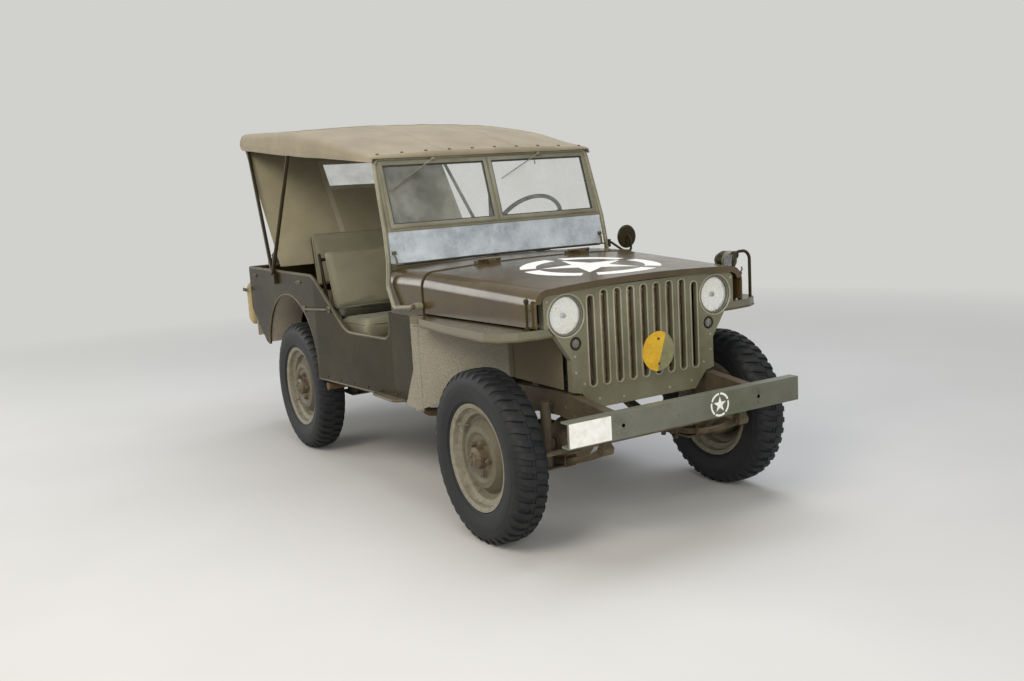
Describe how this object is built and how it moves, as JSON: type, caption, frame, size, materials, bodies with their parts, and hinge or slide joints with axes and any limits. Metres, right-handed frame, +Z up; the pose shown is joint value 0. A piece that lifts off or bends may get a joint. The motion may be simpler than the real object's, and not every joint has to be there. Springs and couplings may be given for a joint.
{
  "type": "light army car",
  "caption": "Open four-wheel-drive army car of the 1940s with a slotted grille, folding windscreen, flat fenders, spare wheel and its canvas top up.",
  "frame": {"origin": "on the floor under the middle of the car's length and width", "axes": "+X towards the front bumper, +Y to the car's left, +Z up"},
  "size_m": [3.3715, 1.498, 1.828],
  "materials": {
    "body_paint": "semi-gloss olive drab paint",
    "hood_paint": "semi-gloss olive drab paint with white markings",
    "grille_paint": "satin grey-olive paint",
    "frame_paint": "dusty olive paint",
    "wheel_paint": "pale dusty olive paint",
    "apron_paint": "olive paint under dried beige mud",
    "axle_metal": "painted castings with dust",
    "engine_metal": "dull painted castings",
    "exhaust_metal": "dull rusty steel",
    "tyre_rubber": "matt black rubber",
    "wheel_rubber": "hard black rubber rim",
    "canvas": "khaki canvas",
    "curtain_canvas": "khaki canvas with pale webbing",
    "seat_canvas": "grey-green canvas",
    "bag_canvas": "tan canvas",
    "pane": "clear flat glass",
    "lens": "ribbed clear glass",
    "screen_paint": "satin grey-olive paint",
    "mirror_paint": "olive paint with a mirror face"
  },
  "bodies": {
    "chassis": {"frame": "frame_paint", "front_bumper": "grille_paint", "rear_bumperettes": "frame_paint", "front_axle": "axle_metal", "rear_axle": "axle_metal", "suspension": "frame_paint", "drive_shafts": "axle_metal", "power_unit": "engine_metal", "exhaust": "exhaust_metal", "fuel_tank": "body_paint", "radiator": "engine_metal", "grille": "grille_paint", "lamps": "body_paint", "lamp_lenses": "lens", "front_fenders": "apron_paint", "cowl": "body_paint", "body_sides": "body_paint", "rear_panel": "body_paint", "body_floor": "body_paint", "hood_catches": "body_paint", "windscreen_frame": "screen_paint", "windscreen_glass": "pane", "top_bows": "body_paint", "canvas_top": "canvas", "rear_curtain": "curtain_canvas", "steering_column": "body_paint", "driver_seat_frame": "body_paint", "driver_cushions": "seat_canvas", "rear_seat_frame": "body_paint", "rear_seat_cushion": "seat_canvas", "mirror": "mirror_paint", "canvas_bag": "bag_canvas", "spare_rim": "wheel_paint", "spare_tyre": "tyre_rubber"},
    "hood": {"hood": "hood_paint"},
    "knuckle_left": {"knuckle_left": "axle_metal"},
    "knuckle_right": {"knuckle_right": "axle_metal"},
    "tie_rod": {"tie_rod": "axle_metal"},
    "steering_wheel": {"steering_wheel": "wheel_rubber"},
    "passenger_seat": {"passenger_seat_frame": "body_paint", "passenger_cushions": "seat_canvas"},
    "rear_back": {"rear_seat_back": "body_paint", "rear_back_pad": "seat_canvas"},
    "wheel_front_left": {"wheel_front_left": "wheel_paint", "tyre_front_left": "tyre_rubber"},
    "wheel_front_right": {"wheel_front_right": "wheel_paint", "tyre_front_right": "tyre_rubber"},
    "wheel_rear_left": {"wheel_rear_left": "wheel_paint", "tyre_rear_left": "tyre_rubber"},
    "wheel_rear_right": {"wheel_rear_right": "wheel_paint", "tyre_rear_right": "tyre_rubber"}
  },
  "joints": [
    {"name": "steer_left", "type": "hinge", "parent": "chassis", "child": "knuckle_left", "pos_m": [1.162, 0.54, 0.358], "axis": [0, 0, 1], "range_deg": [-26, 26]},
    {"name": "steer_right", "type": "hinge", "parent": "chassis", "child": "knuckle_right", "pos_m": [1.162, -0.54, 0.358], "axis": [0, 0, 1], "range_deg": [-26, 26]},
    {"name": "tie_rod_turn", "type": "hinge", "parent": "knuckle_left", "child": "tie_rod", "pos_m": [1.352, 0.5, 0.3807], "axis": [0, 0, 1], "range_deg": [-26, 26]},
    {"name": "steering_wheel_turn", "type": "hinge", "parent": "chassis", "child": "steering_wheel", "pos_m": [-0.003, 0.35, 1.187], "axis": [-0.8203, 0, 0.5719], "range_deg": [-364, 364]},
    {"name": "spin_front_left", "type": "hinge", "parent": "knuckle_left", "child": "wheel_front_left", "pos_m": [1.162, 0.6225, 0.358], "axis": [0, 1, 0], "continuous": true},
    {"name": "spin_front_right", "type": "hinge", "parent": "knuckle_right", "child": "wheel_front_right", "pos_m": [1.162, -0.6225, 0.358], "axis": [0, 1, 0], "continuous": true},
    {"name": "spin_rear_left", "type": "hinge", "parent": "chassis", "child": "wheel_rear_left", "pos_m": [-0.87, 0.6225, 0.358], "axis": [0, 1, 0], "continuous": true},
    {"name": "spin_rear_right", "type": "hinge", "parent": "chassis", "child": "wheel_rear_right", "pos_m": [-0.87, -0.6225, 0.358], "axis": [0, 1, 0], "continuous": true},
    {"name": "hood_open", "type": "hinge", "parent": "chassis", "child": "hood", "pos_m": [0.609, 0, 1.098], "axis": [0, -1, 0], "range_deg": [0, 115]},
    {"name": "passenger_seat_tip", "type": "hinge", "parent": "chassis", "child": "passenger_seat", "pos_m": [-0.053, -0.409, 0.545], "axis": [0, 1, 0], "range_deg": [0, 50]},
    {"name": "rear_back_fold", "type": "hinge", "parent": "chassis", "child": "rear_back", "pos_m": [-1.098, 0, 0.858], "axis": [0, 1, 0], "range_deg": [0, 75]}
  ],
  "couplings": [
    {"joint": "steer_right", "follows": "steer_left", "ratio": 1},
    {"joint": "tie_rod_turn", "follows": "steer_left", "ratio": -1},
    {"joint": "steering_wheel_turn", "follows": "steer_left", "ratio": 14}
  ]
}
